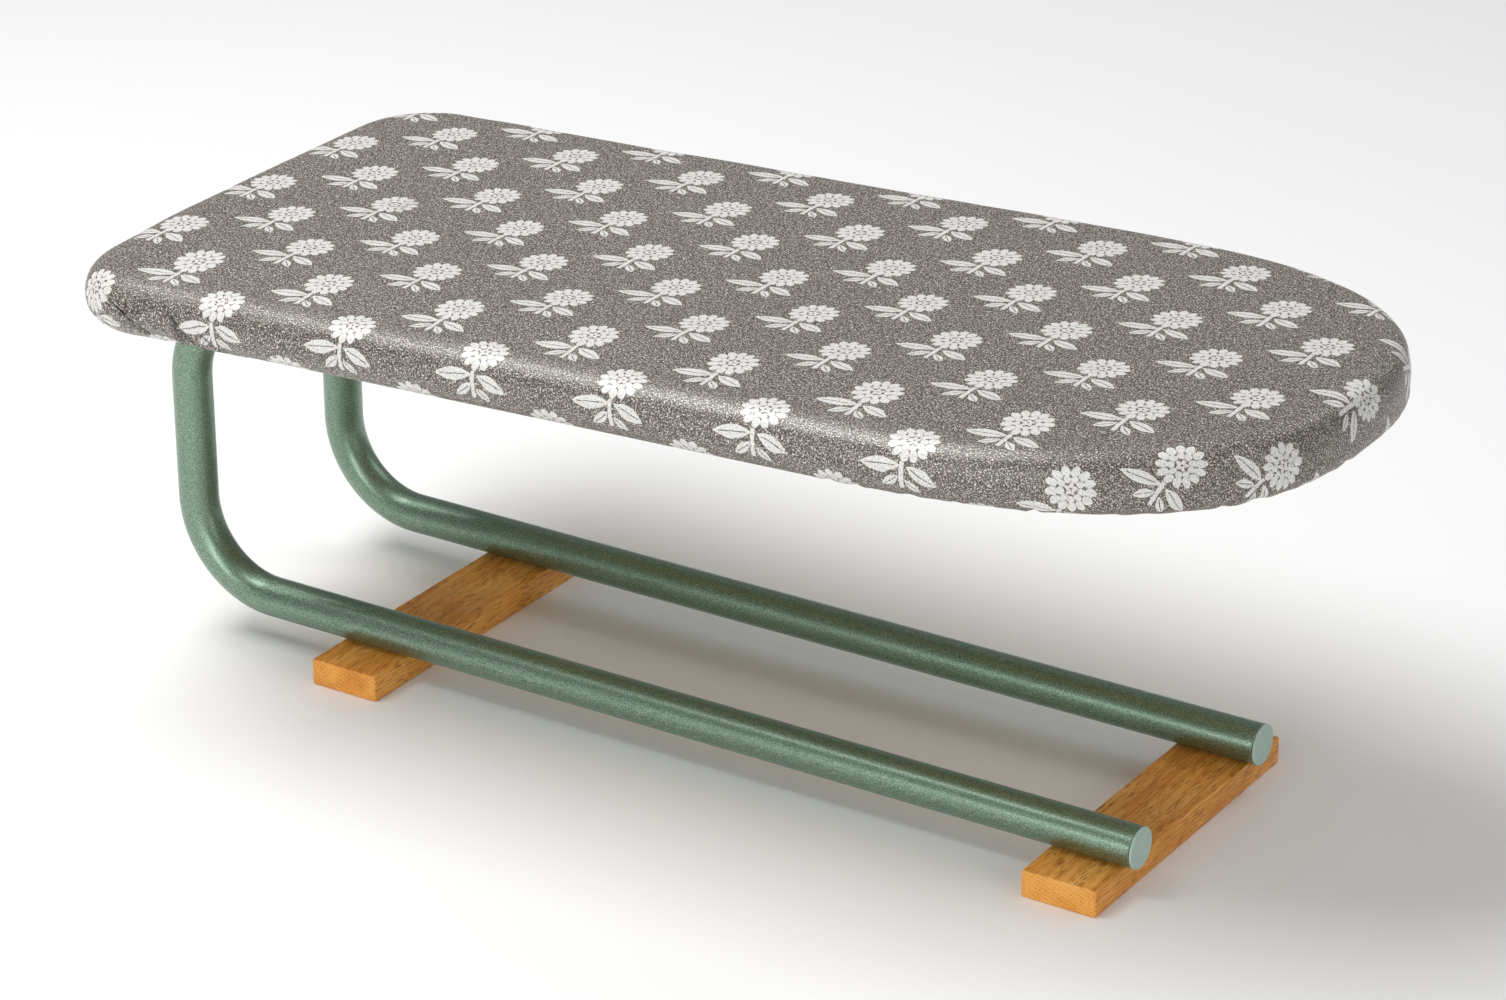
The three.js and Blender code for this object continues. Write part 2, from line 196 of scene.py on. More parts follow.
class Graph:
    """A material and short ways to add the nodes that this script needs."""

    def __init__(self, name):
        self.material = bpy.data.materials.new(name)
        self.material.use_nodes = True
        self.tree = self.material.node_tree
        self.shader = self.tree.nodes["Principled BSDF"]

    def add(self, kind, inputs=(), **settings):
        """A new node; inputs go to its sockets, by name, and settings to its own properties."""
        node = self.tree.nodes.new(kind)
        for setting, value in settings.items():
            setattr(node, setting, value)
        for name, value in dict(inputs).items():
            self.feed(node.inputs[name], value)
        return node

    def feed(self, socket, value):
        """Links a value or a socket into a socket, or sets a plain number or colour on it."""
        if isinstance(value, Value):
            self.tree.links.new(value.socket, socket)
        elif isinstance(value, bpy.types.NodeSocket):
            self.tree.links.new(value, socket)
        else:
            socket.default_value = value

    def math(self, operation, *values):
        node = self.add("ShaderNodeMath", operation=operation)
        for socket, value in zip(node.inputs, values):
            self.feed(socket, value)
        return Value(self, node.outputs[0])

    def ease(self, value, low, high):
        """0 below low, 1 above high and smooth between; low may be the larger one."""
        node = self.add("ShaderNodeMapRange", interpolation_type="SMOOTHSTEP")
        self.feed(node.inputs["Value"], value)
        self.feed(node.inputs["From Min"], low)
        self.feed(node.inputs["From Max"], high)
        return Value(self, node.outputs["Result"])

    def larger(self, first, second):
        return self.math("MAXIMUM", first, second)

    def place(self):
        """The point's own place, in metres."""
        return self.add("ShaderNodeTexCoord").outputs["Object"]

    def attribute(self, name):
        """What the mesh keeps at each point under that name."""
        return self.add("ShaderNodeAttribute", attribute_name=name).outputs["Vector"]

    def split(self, vector):
        node = self.add("ShaderNodeSeparateXYZ")
        self.feed(node.inputs[0], vector)
        return [Value(self, output) for output in node.outputs]

    def stretched(self, vector, scale):
        node = self.add("ShaderNodeMapping", inputs={"Vector": vector, "Scale": scale})
        return node.outputs[0]

    def noise(self, vector, scale, detail=2.0, roughness=0.5, distortion=0.0):
        """Soft noise round 0.5, with about `scale` waves to a metre."""
        settings = dict(Scale=scale, Detail=detail, Roughness=roughness, Distortion=distortion)
        node = self.add("ShaderNodeTexNoise", inputs=dict(Vector=vector, **settings))
        return Value(self, node.outputs["Fac"])

    def ramp(self, value, stops):
        """A colour for the value, from (position, colour) stops."""
        node = self.add("ShaderNodeValToRGB")
        elements = node.color_ramp.elements
        while len(elements) < len(stops):
            elements.new(0.5)
        for element, (position, colour) in zip(elements, stops):
            element.position = position
            element.color = (*colour, 1)
        self.feed(node.inputs["Fac"], value)
        return Value(self, node.outputs["Color"])

    def mix(self, share, first, second):
        """The first colour where share is 0 and the second where it is 1."""
        node = self.add("ShaderNodeMix", data_type="RGBA")
        self.feed(node.inputs[0], share)
        self.feed(node.inputs[6], as_colour(first))
        self.feed(node.inputs[7], as_colour(second))
        return Value(self, node.outputs[2])

    def bump(self, height, distance, strength):
        """Fine relief: the surface stands out by distance where height is 1."""
        settings = dict(Height=height, Distance=distance, Strength=strength)
        node = self.add("ShaderNodeBump", inputs=settings)
        self.feed(self.shader.inputs["Normal"], node.outputs["Normal"])

    def set(self, **inputs):
        """Sets the surface shader's inputs; an underscore stands for a space."""
        for name, value in inputs.items():
            socket = self.shader.inputs[name.replace("_", " ")]
            self.feed(socket, as_colour(value) if socket.type == "RGBA" else value)


def as_colour(value):
    """A colour of three numbers as the four that a socket takes; anything else unchanged."""
    if isinstance(value, tuple) and len(value) == 3:
        return (*value, 1)
    return value


# -------- materials

def enamel_material():
    """Green enamel over metal flake: fine specks, darker in the hollows, under a thin clear coat."""
    graph = Graph("green_enamel")
    place = graph.place()
    flake = graph.noise(place, 2200, detail=2, roughness=0.7)
    cloud = graph.noise(place, 28, detail=2)
    specks = graph.ramp(flake, [
        (0.36, (0.058, 0.145, 0.078)),
        (0.50, (0.172, 0.285, 0.192)),
        (0.64, (0.440, 0.530, 0.460)),
    ])
    colour = graph.mix(graph.ease(cloud, 0.35, 0.7) * 0.25, specks, (0.17, 0.25, 0.18))
    graph.set(Base_Color=colour, Metallic=0.88, Roughness=graph.ease(flake, 0.2, 0.8) * 0.12 + 0.33)
    graph.set(Coat_Weight=0.4, Coat_Roughness=0.18)
    graph.bump(flake, 0.08 * MM, 0.6)
    return graph.material


def mottled(name, scale, detail, stops):
    """A graph whose colour follows one fine noise, and that noise."""
    graph = Graph(name)
    mottle = graph.noise(graph.place(), scale, detail=detail)
    graph.set(Base_Color=graph.ramp(mottle, stops))
    return graph, mottle


def cap_material():
    """Matt grey-green plastic with a faint moulded mottle."""
    stops = [(0.3, (0.400, 0.535, 0.475)), (0.7, (0.485, 0.630, 0.565))]
    graph, mottle = mottled("cap_plastic", 420, 3, stops)
    graph.set(Roughness=0.55)
    graph.bump(mottle, 0.05 * MM, 0.4)
    return graph.material


def beech_material():
    """Oiled beech: fine grain along Y, short dark flecks, and faint year rings."""
    graph = Graph("oiled_beech")
    place = graph.place()
    x, y, z = graph.split(place)
    wander = graph.noise(place, 14, detail=2)
    cloud = graph.noise(graph.stretched(place, (1, 0.3, 1)), 55, detail=2)
    fine = graph.noise(graph.stretched(place, (1, 0.035, 1)), 1500, detail=2, roughness=0.7)
    rings = graph.math("SINE", (x * 0.5 + z * 1.4 + wander * 9 * MM + y * 0.03) * 1900)
    tone = cloud * 0.35 + fine * 0.60 + rings * 0.035 + 0.02
    base = graph.ramp(tone, [
        (0.36, (0.590, 0.210, 0.030)),
        (0.48, (0.800, 0.335, 0.054)),
        (0.60, (0.910, 0.480, 0.122)),
    ])
    fleck_cells = graph.add("ShaderNodeTexVoronoi", inputs={
        "Vector": graph.stretched(place, (1, 0.085, 1)),
        "Scale": 1150,
    })
    fleck_patch = graph.noise(graph.stretched(place, (1, 0.3, 1)), 210, detail=1)
    fleck = graph.ease(Value(graph, fleck_cells.outputs["Distance"]), 0.35, 0.25)
    fleck = fleck * graph.ease(fleck_patch, 0.42, 0.50)
    # The flecks run along the grain and don't show on the sawn ends.
    normal = graph.add("ShaderNodeTexCoord").outputs["Normal"]
    facing_along_grain = graph.split(normal)[1].abs()
    fleck = fleck * graph.ease(facing_along_grain, 0.8, 0.4)
    colour = graph.mix(fleck * 0.8, base, (0.230, 0.062, 0.014))
    graph.set(Base_Color=colour, Roughness=graph.ease(fine, 0.2, 0.8) * 0.15 + 0.38)
    graph.set(Specular_IOR_Level=0.35)
    graph.bump(fine * 0.6 - fleck, 0.10 * MM, 0.5)
    return graph.material


def plywood_material():
    """Raw birch plywood: pale rotary veneer with fine pores."""
    graph = Graph("plywood")
    place = graph.place()
    figure = graph.noise(graph.stretched(place, (0.12, 1, 1)), 60, detail=4, distortion=1.2)
    pores = graph.noise(graph.stretched(place, (0.05, 1, 1)), 1100, detail=1)
    colour = graph.ramp(figure * 0.8 + pores * 0.2, [
        (0.3, (0.500, 0.345, 0.180)),
        (0.6, (0.690, 0.520, 0.305)),
        (0.8, (0.740, 0.585, 0.370)),
    ])
    graph.set(Base_Color=colour, Roughness=0.7)
    graph.bump(pores, 0.06 * MM, 0.5)
    return graph.material


def felt_material():
    """Needled felt: pale, matted fibres with a few darker ones."""
    graph = Graph("felt")
    place = graph.place()
    fibres = graph.noise(place, 1500, detail=4, roughness=0.75, distortion=2.5)
    clumps = graph.noise(place, 160, detail=3)
    colour = graph.ramp(fibres * 0.6 + clumps * 0.4, [
        (0.30, (0.420, 0.400, 0.360)),
        (0.50, (0.660, 0.640, 0.590)),
        (0.70, (0.780, 0.765, 0.720)),
    ])
    graph.set(Base_Color=colour, Roughness=0.95, Specular_IOR_Level=0.2, Sheen_Weight=0.3)
    graph.bump(fibres * 0.5 + clumps * 0.5, 0.6 * MM, 0.9)
    return graph.material


def elastic_material():
    """Braided white elastic."""
    stops = [(0.35, (0.56, 0.55, 0.52)), (0.6, (0.80, 0.79, 0.75))]
    graph, braid = mottled("elastic", 1400, 1, stops)
    graph.set(Roughness=0.8)
    graph.bump(braid, 0.2 * MM, 0.8)
    return graph.material


def thread_material():
    """Pale grey sewing thread."""
    stops = [(0.35, (0.36, 0.33, 0.30)), (0.65, (0.58, 0.55, 0.51))]
    graph, twist = mottled("sewing_thread", 2600, 1, stops)
    graph.set(Roughness=0.6, Sheen_Weight=0.2)
    graph.bump(twist, 0.08 * MM, 0.8)
    return graph.material


def zinc_material():
    """Zinc-plated steel, slightly mottled."""
    stops = [(0.3, (0.46, 0.47, 0.47)), (0.7, (0.62, 0.62, 0.60))]
    graph, mottle = mottled("zinc_steel", 350, 3, stops)
    graph.set(Metallic=1.0, Roughness=graph.ease(mottle, 0.2, 0.8) * 0.15 + 0.22)
    return graph.material


# The print repeats in columns that step half a repeat sideways. Its sizes are in millimetres of
# flat cloth, and one sprig's middle is at PRINT_START.
PRINT_STEP_X = 82.6
PRINT_STEP_Y = 74.0
PRINT_START = (52.1, -41.2)


def nearest_sprig(graph, x, y):
    """The point's place relative to the nearest sprig's middle, in millimetres."""
    offsets = []
    for half in (0, 1):
        start_x = PRINT_START[0] - PRINT_STEP_X / 2 * (1 + half)
        start_y = PRINT_START[1] - PRINT_STEP_Y / 2 * (1 + half)
        along = graph.math("WRAP", x - start_x, PRINT_STEP_X, 0.0) - PRINT_STEP_X / 2
        across = graph.math("WRAP", y - start_y, PRINT_STEP_Y, 0.0) - PRINT_STEP_Y / 2
        offsets.append((along, across, along.squared() + across.squared()))
    (x0, y0, far0), (x1, y1, far1) = offsets
    second = graph.math("LESS_THAN", far1, far0)
    return x0 + (x1 - x0) * second, y0 + (y1 - y0) * second


def petal_ring(graph, distance, turn, count, reach, half_length, half_width, phase):
    """A ring of oval petals, as a mask; turn is the angle round the flower, in turns."""
    cell = graph.math("FRACT", turn * count + phase) - 0.5
    across = cell * distance * (2 * math.pi / count) / half_width
    along = (distance - reach) / half_length
    return graph.ease((along.squared() + across.squared()).sqrt(), 1.08, 0.90)


def leaf(graph, x, y, middle, angle, half_length, half_width):
    """A pointed leaf with its midrib left open, as a mask."""
    cos, sin = math.cos(math.radians(angle)), math.sin(math.radians(angle))
    dx, dy = x - middle[0], y - middle[1]
    along = (dx * cos + dy * sin) / half_length
    across = (dy * cos - dx * sin).abs()
    edge = (1 - along.squared()) * half_width
    blade = graph.ease(across - edge, 0.22, -0.22)
    rib = graph.ease(across, 0.18, 0.42)
    open_end = graph.ease(along.abs(), 0.62, 0.80)
    return blade * graph.larger(rib, open_end)


def sprig_mask(graph, x, y):
    """A flower with three rings of petals over four spreading leaves: 1 where the print is."""
    size = 0.93
    x, y = (x + 3.0) / size, (y + 2.5) / size
    head_x, head_y = x - 3.0, (y - 7.5) * 1.06
    distance = (head_x.squared() + head_y.squared()).sqrt()
    turn = graph.math("ARCTAN2", head_y, head_x) / (2 * math.pi)
    parts = [
        petal_ring(graph, distance, turn, 13, 10.9, 3.3, 2.45, 0.0),
        petal_ring(graph, distance, turn, 9, 6.1, 2.3, 1.95, 0.3),
        petal_ring(graph, distance, turn, 5, 2.2, 1.5, 1.2, 0.1),
        leaf(graph, x, y, (-11.5, -9.5), 6, 12.0, 3.7),
        leaf(graph, x, y, (12.5, -11.5), -20, 9.5, 3.6),
        leaf(graph, x, y, (-5.5, -17.0), 38, 6.5, 2.7),
        leaf(graph, x, y, (7.0, -18.5), -44, 5.5, 2.4),
    ]
    stem = graph.ease((x - 1.0).abs(), 1.5, 1.0) * graph.ease((y + 13.5).abs(), 8.0, 7.0)
    mask = stem
    for part in parts:
        mask = graph.larger(mask, part)
    return mask


def cover_material():
    """Speckled grey-brown cloth with a pale half-drop print and a faint satin face."""
    graph = Graph("cover_cloth")
    flat = graph.attribute("cloth_flat")
    x, y, raised = graph.split(flat)
    x, y = x * 1000, y * 1000
    wobble = graph.noise(flat, 260, detail=1) - 0.5
    shift = graph.noise(graph.stretched(flat, (1, 1.3, 1)), 190, detail=1) - 0.5
    sprig_x, sprig_y = nearest_sprig(graph, x + wobble * 1.1, y + shift * 1.1)
    printed = sprig_mask(graph, sprig_x, sprig_y)

    grain = graph.noise(flat, 1180, detail=1.5, roughness=0.7, distortion=0.5)
    coarse = graph.noise(flat, 330, detail=1)
    speckle = grain * 0.88 + coarse * 0.12
    ground = graph.ramp(speckle, [
        (0.41, (0.014, 0.011, 0.009)),
        (0.485, (0.070, 0.057, 0.046)),
        (0.55, (0.225, 0.190, 0.159)),
        (0.64, (0.780, 0.720, 0.645)),
    ])
    ink = graph.ramp(speckle, [
        (0.36, (0.56, 0.55, 0.52)),
        (0.50, (0.72, 0.71, 0.68)),
        (0.64, (0.84, 0.835, 0.81)),
    ])
    worn = graph.ease(grain, 0.30, 0.42) * 0.30 + 0.70
    colour = graph.mix(printed * worn, ground, ink)
    # Little light reaches the bottoms of the deep folds.
    in_fold = graph.ease(raised * -1000, 0.0, 1.3)
    colour = graph.mix(in_fold * 0.92, colour, (0.016, 0.013, 0.011))
    graph.set(Base_Color=colour, Roughness=0.48 - graph.ease(grain, 0.44, 0.58) * 0.12)
    graph.set(Specular_IOR_Level=1.0, Sheen_Weight=0.12, Sheen_Roughness=0.35)
    graph.bump(speckle + printed * 0.25, 0.16 * MM, 0.7)
    return graph.material


# -------- pieces

def dress(obj, material):
    """Makes a material the piece's only one."""
    obj.data.materials.clear()
    obj.data.materials.append(material)


def finish_piece(obj, material, nodes=()):
    """Gives a made piece its material and its body, and hides the CAD nodes that it stands for."""
    dress(obj, material)
    for polygon in obj.data.polygons:
        polygon.use_smooth = True
    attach(obj, "root")
    if nodes:
        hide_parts(*nodes)


def object_from(name, points, faces):
    """A new mesh object in the scene."""
    mesh = bpy.data.meshes.new(name)
    mesh.from_pydata(points, [], faces)
    mesh.update()
    obj = bpy.data.objects.new(name, mesh)
    bpy.context.scene.collection.objects.link(obj)
    return obj


def apply_modifiers(obj):
    """Bakes the modifiers into the mesh."""
    graph = bpy.context.evaluated_depsgraph_get()
    graph.update()
    mesh = bpy.data.meshes.new_from_object(obj.evaluated_get(graph))
    obj.modifiers.clear()
    obj.data = mesh


@contextmanager
def editing(obj):
    """The object's mesh opened for editing, and written back afterwards."""
    work = bmesh.new()
    work.from_mesh(obj.data)
    yield work
    work.to_mesh(obj.data)
    work.free()


def cut_away(obj, cutters):
    """Takes the cutters out of a piece, after its other modifiers, and removes them."""
    for cutter in cutters:
        cut = obj.modifiers.new("cut", "BOOLEAN")
        cut.operation = "DIFFERENCE"
        cut.solver = "EXACT"
        cut.object = cutter
    apply_modifiers(obj)
    for cutter in cutters:
        bpy.data.objects.remove(cutter)


def fix_normals(obj):
    """Turns all faces outwards."""
    with editing(obj) as work:
        bmesh.ops.recalc_face_normals(work, faces=work.faces)


def sharpen(obj, degrees=35):
    """Marks the hard edges, so that smooth shading stops at them."""
    limit = math.radians(degrees)
    with editing(obj) as work:
        for edge in work.edges:
            edge.smooth = len(edge.link_faces) == 2 and edge.calc_face_angle() < limit


def ring_faces(rings, size, close=False):
    """Quads between successive rings of `size` points, and from last to first if closed."""
    faces = []
    pairs = list(zip(range(rings - 1), range(1, rings)))
    if close:
        pairs.append((rings - 1, 0))
    for low, high in pairs:
        for i in range(size):
            j = (i + 1) % size
            faces.append((low * size + i, low * size + j, high * size + j, high * size + i))
    return faces


def circle_points(centre, first, second, radius, sides):
    """Points of a circle round the centre, in the plane of two directions."""
    for i in range(sides):
        angle = 2 * math.pi * i / sides
        yield centre + (first * math.cos(angle) + second * math.sin(angle)) * radius


def turned_object(name, profile, frame_matrix, sides):
    """A piece turned about +Z: the profile's points are (radius, height), on the axis at both ends."""
    obj = object_from(name, [], [])
    with editing(obj) as work:
        points = [work.verts.new((radius, 0, height)) for radius, height in profile]
        edges = [work.edges.new(pair) for pair in zip(points, points[1:])]
        bmesh.ops.spin(
            work, geom=points + edges, cent=(0, 0, 0), axis=(0, 0, 1), angle=2 * math.pi, steps=sides,
            use_duplicate=False,
        )
        bmesh.ops.remove_doubles(work, verts=work.verts, dist=1e-6)
        bmesh.ops.recalc_face_normals(work, faces=work.faces)
        work.transform(frame_matrix)
    return obj


# -------- tubes and their caps

def arc(centre_x, centre_z, start, stop):
    """Axis points round a bend, with the tangent at each, one every two degrees."""
    steps = round(abs(stop - start) / math.radians(2))
    for i in range(steps + 1):
        angle = start + (stop - start) * i / steps
        reach = Vector((math.cos(angle), 0, math.sin(angle)))
        tangent = Vector((math.sin(angle), 0, -math.cos(angle)))
        yield Vector((centre_x, 0, centre_z)) + reach * BEND_RADIUS, tangent


def tube_axis():
    """The bent tube's axis in the plane y = 0, from the lower front end to the upper one."""
    quarter = math.pi / 2
    middle_x = UPRIGHT_X + BEND_RADIUS
    upper_z = BOARD_MIDDLE_Z + (
        UPPER_LEG_ABOVE - BEND_RADIUS + BEND_RADIUS * math.sin(BOARD_PITCH)
    ) / math.cos(BOARD_PITCH)
    along = Vector((math.cos(BOARD_PITCH), 0, math.sin(BOARD_PITCH)))
    stations = [(Vector((LOWER_LEG_END_X, 0, LOWER_LEG_Z)), Vector((-1, 0, 0)))]
    stations += arc(middle_x, LOWER_LEG_Z + BEND_RADIUS, -quarter, -2 * quarter)
    stations += arc(middle_x, upper_z, 2 * quarter, quarter + BOARD_PITCH)
    stations.append((BOARD_FRAME @ Vector((UPPER_LEG_LENGTH, 0, UPPER_LEG_ABOVE)), along))
    return stations


def add_tube(side, y, material):
    """A hollow tube whose ends are slightly rounded over."""
    sides = 72
    edge = 0.35 * MM
    stations = tube_axis()
    start, stop = stations[0], stations[-1]
    inner = TUBE_RADIUS - TUBE_WALL
    rings = [(start[0] + start[1] * edge, start[1], TUBE_RADIUS)]
    rings += [(point, tangent, TUBE_RADIUS) for point, tangent in stations[1:-1]]
    rings += [(stop[0] - stop[1] * edge, stop[1], TUBE_RADIUS)]
    rings += [(stop[0], stop[1], TUBE_RADIUS - edge), (stop[0], stop[1], inner)]
    rings += [(point, tangent, inner) for point, tangent in stations[-2:0:-1]]
    rings += [(start[0], start[1], inner), (start[0], start[1], TUBE_RADIUS - edge)]
    points = []
    sideways = Vector((0, 1, 0))
    for centre, tangent, radius in rings:
        outward = tangent.cross(sideways)
        points += circle_points(centre + Vector((0, y, 0)), outward, sideways, radius, sides)
    tube = object_from(f"enamelled_tube_{side}", points, ring_faces(len(rings), sides, close=True))
    fix_normals(tube)
    finish_piece(tube, material, [f"frame_tube_{side}"])
    sharpen(tube)


def add_cap(name, node, matrix, material):
    """A push-in end cap: a softly edged disc over the tube's end and a hollow barrel inside it."""
    barrel = TUBE_RADIUS - TUBE_WALL - GAP
    flange = 1.5 * MM
    edge = 0.45 * MM
    dish = 0.15 * MM
    bore = barrel - 1.6 * MM
    depth = 12 * MM
    profile = [
        (0, -GAP),
        (bore, -GAP),
        (bore, -depth),
        (barrel - 0.3 * MM, -depth),
        (barrel, -depth + 0.5 * MM),
        (barrel, GAP),
        (TUBE_RADIUS - 0.2 * MM, GAP),
        (TUBE_RADIUS, GAP + 0.2 * MM),
    ]
    steps = 6
    for i in range(steps + 1):
        angle = math.pi / 2 * i / steps
        outward, upward = edge * math.cos(angle), edge * math.sin(angle)
        profile.append((TUBE_RADIUS - edge + outward, flange - edge + upward))
    profile += [(TUBE_RADIUS - 2 * MM, flange - dish * 0.6), (TUBE_RADIUS * 0.4, flange - dish)]
    profile += [(0, flange - dish)]
    cap = turned_object(name, profile, matrix, sides=72)
    finish_piece(cap, material, [node])
    sharpen(cap, 50)


def add_caps(material):
    """One cap in each end of the two tubes."""
    facing_front = Matrix.Rotation(math.pi / 2, 4, "Y")
    for side, y in SIDES:
        lower = Matrix.Translation((LOWER_LEG_END_X, y, LOWER_LEG_Z)) @ facing_front
        add_cap(f"end_cap_lower_{side}", f"lower_cap_{side}", lower, material)
        upper = BOARD_FRAME @ Matrix.Translation((UPPER_LEG_LENGTH, y, UPPER_LEG_ABOVE)) @ facing_front
        add_cap(f"end_cap_upper_{side}", f"upper_cap_{side}", upper, material)


# -------- wooden strips and bolts

BOLT_RADIUS = 3 * MM
BOLT_HEAD_RADIUS = 6 * MM
BOLT_HEAD_HEIGHT = 3.2 * MM
BOLT_RECESS = sole_bolt_low.z


def drill_profile(from_below):
    """What one bolt takes out of a strip, as (radius, height) points from the sole upwards."""
    head = BOLT_HEAD_RADIUS + GAP
    shank = BOLT_RADIUS + GAP
    beyond = 2 * MM
    low, high = -beyond, STRIP_THICKNESS + beyond
    if not from_below:
        return [(0, low), (shank, low), (shank, high), (0, high)]
    return [
        (0, low),
        (head + 0.4 * MM, low),
        (head + 0.4 * MM, 0),
        (head, 0.4 * MM),
        (head, BOLT_RECESS + 0.8 * MM),
        (shank, BOLT_RECESS + BOLT_HEAD_HEIGHT + GAP),
        (shank, high),
        (0, high),
    ]


def add_strip(name, node, matrix, size, from_below, material):
    """A planed beech strip with eased edges, drilled for two bolts."""
    strip = object_from(name, [], [])
    with editing(strip) as work:
        bmesh.ops.create_cube(work, size=1.0)
        bmesh.ops.scale(work, vec=size, verts=work.verts)
        bmesh.ops.translate(work, vec=(0, 0, size.z / 2), verts=work.verts)
    bevel = strip.modifiers.new("eased_edges", "BEVEL")
    bevel.width = 1.0 * MM
    bevel.segments = 4
    drill = drill_profile(from_below)
    places = [Matrix.Translation((0, y, 0)) for _, y in SIDES]
    cut_away(strip, [turned_object("drill", drill, place, sides=40) for place in places])
    strip.data.transform(matrix)
    finish_piece(strip, material, [node])
    sharpen(strip, 30)


def add_strips(material):
    """The two feet and the two battens."""
    size = Vector((foot_high.x - foot_low.x, foot_high.y - foot_low.y, STRIP_THICKNESS))
    for place in PLACES:
        low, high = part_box(f"foot_{place}")
        foot_place = Matrix.Translation(((low.x + high.x) / 2, 0, low.z))
        add_strip(f"beech_foot_{place}", f"foot_{place}", foot_place, size, True, material)
        # The batten is the same strip upside down, lying along the pitched board.
        low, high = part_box(f"batten_{place}")
        turned_over = Matrix.Rotation(-BOARD_PITCH, 4, "Y") @ Matrix.Rotation(math.pi, 4, "X")
        lift = turned_over @ Vector((0, 0, -STRIP_THICKNESS / 2))
        batten_place = Matrix.Translation((low + high) / 2 + lift) @ turned_over
        add_strip(f"beech_batten_{place}", f"batten_{place}", batten_place, size, False, material)


def add_sole_bolts(material):
    """Countersunk hexagon-socket bolts in the feet."""
    length = sole_bolt_high.z - sole_bolt_low.z
    tip = 0.75 * MM
    profile = [
        (0, 0),
        (BOLT_HEAD_RADIUS - 0.25 * MM, 0),
        (BOLT_HEAD_RADIUS, 0.2 * MM),
        (BOLT_HEAD_RADIUS, 0.5 * MM),
        (BOLT_RADIUS, BOLT_HEAD_HEIGHT),
        (BOLT_RADIUS, length - tip),
        (BOLT_RADIUS - tip, length),
        (0, length),
    ]
    socket_radius = 2.3 * MM
    socket_depth = 2.2 * MM
    socket_profile = [
        (0, -1 * MM),
        (socket_radius, -1 * MM),
        (socket_radius, socket_depth),
        (0, socket_depth + 0.7 * MM),
    ]
    for place in PLACES:
        foot_rear, foot_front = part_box(f"foot_{place}")
        for side, y in SIDES:
            node = f"foot_bolt_{place}_{side}"
            head_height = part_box(node)[0].z
            matrix = Matrix.Translation(((foot_rear.x + foot_front.x) / 2, y, head_height))
            bolt = turned_object(f"sole_bolt_{place}_{side}", profile, matrix, sides=48)
            cut_away(bolt, [turned_object("socket", socket_profile, matrix, sides=6)])
            finish_piece(bolt, material, [node])
            sharpen(bolt, 25)


# -------- the board's outline

def outline_points(inset):
    """The outline pulled in by inset, counterclockwise from the rear's middle, as many close points."""
    rear = BOARD_REAR + inset
    half = BOARD_HALF_WIDTH - inset
    corner = CORNER_RADIUS - inset
    nose_start = BOARD_NOSE - NOSE_LENGTH
    nose_reach = NOSE_LENGTH - inset
    power = 2 / NOSE_EXPONENT
    straight = half - corner
    near = [(rear, -straight * i / 60) for i in range(60)]
    for i in range(60):
        angle = math.pi / 2 * i / 60
        near.append((rear + corner * (1 - math.cos(angle)), -straight - corner * math.sin(angle)))
    near += [(rear + corner + (nose_start - rear - corner) * i / 200, -half) for i in range(200)]
    for i in range(500):
        angle = math.pi / 2 * i / 500
        x = nose_start + nose_reach * math.sin(angle) ** power
        near.append((x, -half * math.cos(angle) ** power))
    nose_tip = [(nose_start + nose_reach, 0)]
    far = [(x, -y) for x, y in reversed(near[1:])]
    return near + nose_tip + far


class Outline:
    """The rim's core line, by the distance along it from the rear's middle."""

    def __init__(self, inset):
        self.points = [Vector(point) for point in outline_points(inset)]
        self.points.append(self.points[0].copy())
        self.reached = [0.0]
        for first, second in zip(self.points, self.points[1:]):
            self.reached.append(self.reached[-1] + (second - first).length)
        self.length = self.reached[-1]

    def at(self, distance):
        """The point at a distance along the line."""
        distance %= self.length
        high = min(bisect_right(self.reached, distance), len(self.reached) - 1)
        low = high - 1
        share = (distance - self.reached[low]) / (self.reached[high] - self.reached[low])
        return self.points[low].lerp(self.points[high], share)

    def outward(self, distance):
        """The outward direction there, smoothed over a few millimetres."""
        step = 1.5 * MM
        tangent = (self.at(distance + step) - self.at(distance - step)).normalized()
        return Vector((tangent.y, -tangent.x))


OUTLINE = Outline(RIM_RADIUS)

# Where along the outline the pleat starts, on the near side of the near rear corner.
PLEAT_AT = 148 * MM


def stations():
    """Distances round the board: close together by the pleated corner, wider elsewhere."""
    found = []
    distance = 0.0
    while distance < OUTLINE.length / 2:
        if abs(distance - PLEAT_AT) >= 2.5 * MM:
            found.append(distance)
        pleated = 100 * MM < distance < 250 * MM
        distance += 1.2 * MM if pleated else 2.3 * MM
    # Offsets from the pleat's line, in millimetres.
    beside = (-2.3, -1.8, -1.4, -1, -0.7, -0.4, -0.2, 0, 0.15, 0.3, 0.55, 0.8, 1.2, 1.6, 2.3)
    found += [PLEAT_AT + offset * MM for offset in beside]
    found.sort()
    far = [OUTLINE.length - distance for distance in reversed(found[1:])]
    return found + [OUTLINE.length / 2] + far


def spine_point(point):
    """The nearest point of the board's middle line, which the flat top's rings shrink towards."""
    rear, front = BOARD_REAR + 130 * MM, BOARD_NOSE - 150 * MM
    along = min(max(point.x, rear), front)
    return Vector((along, 0))


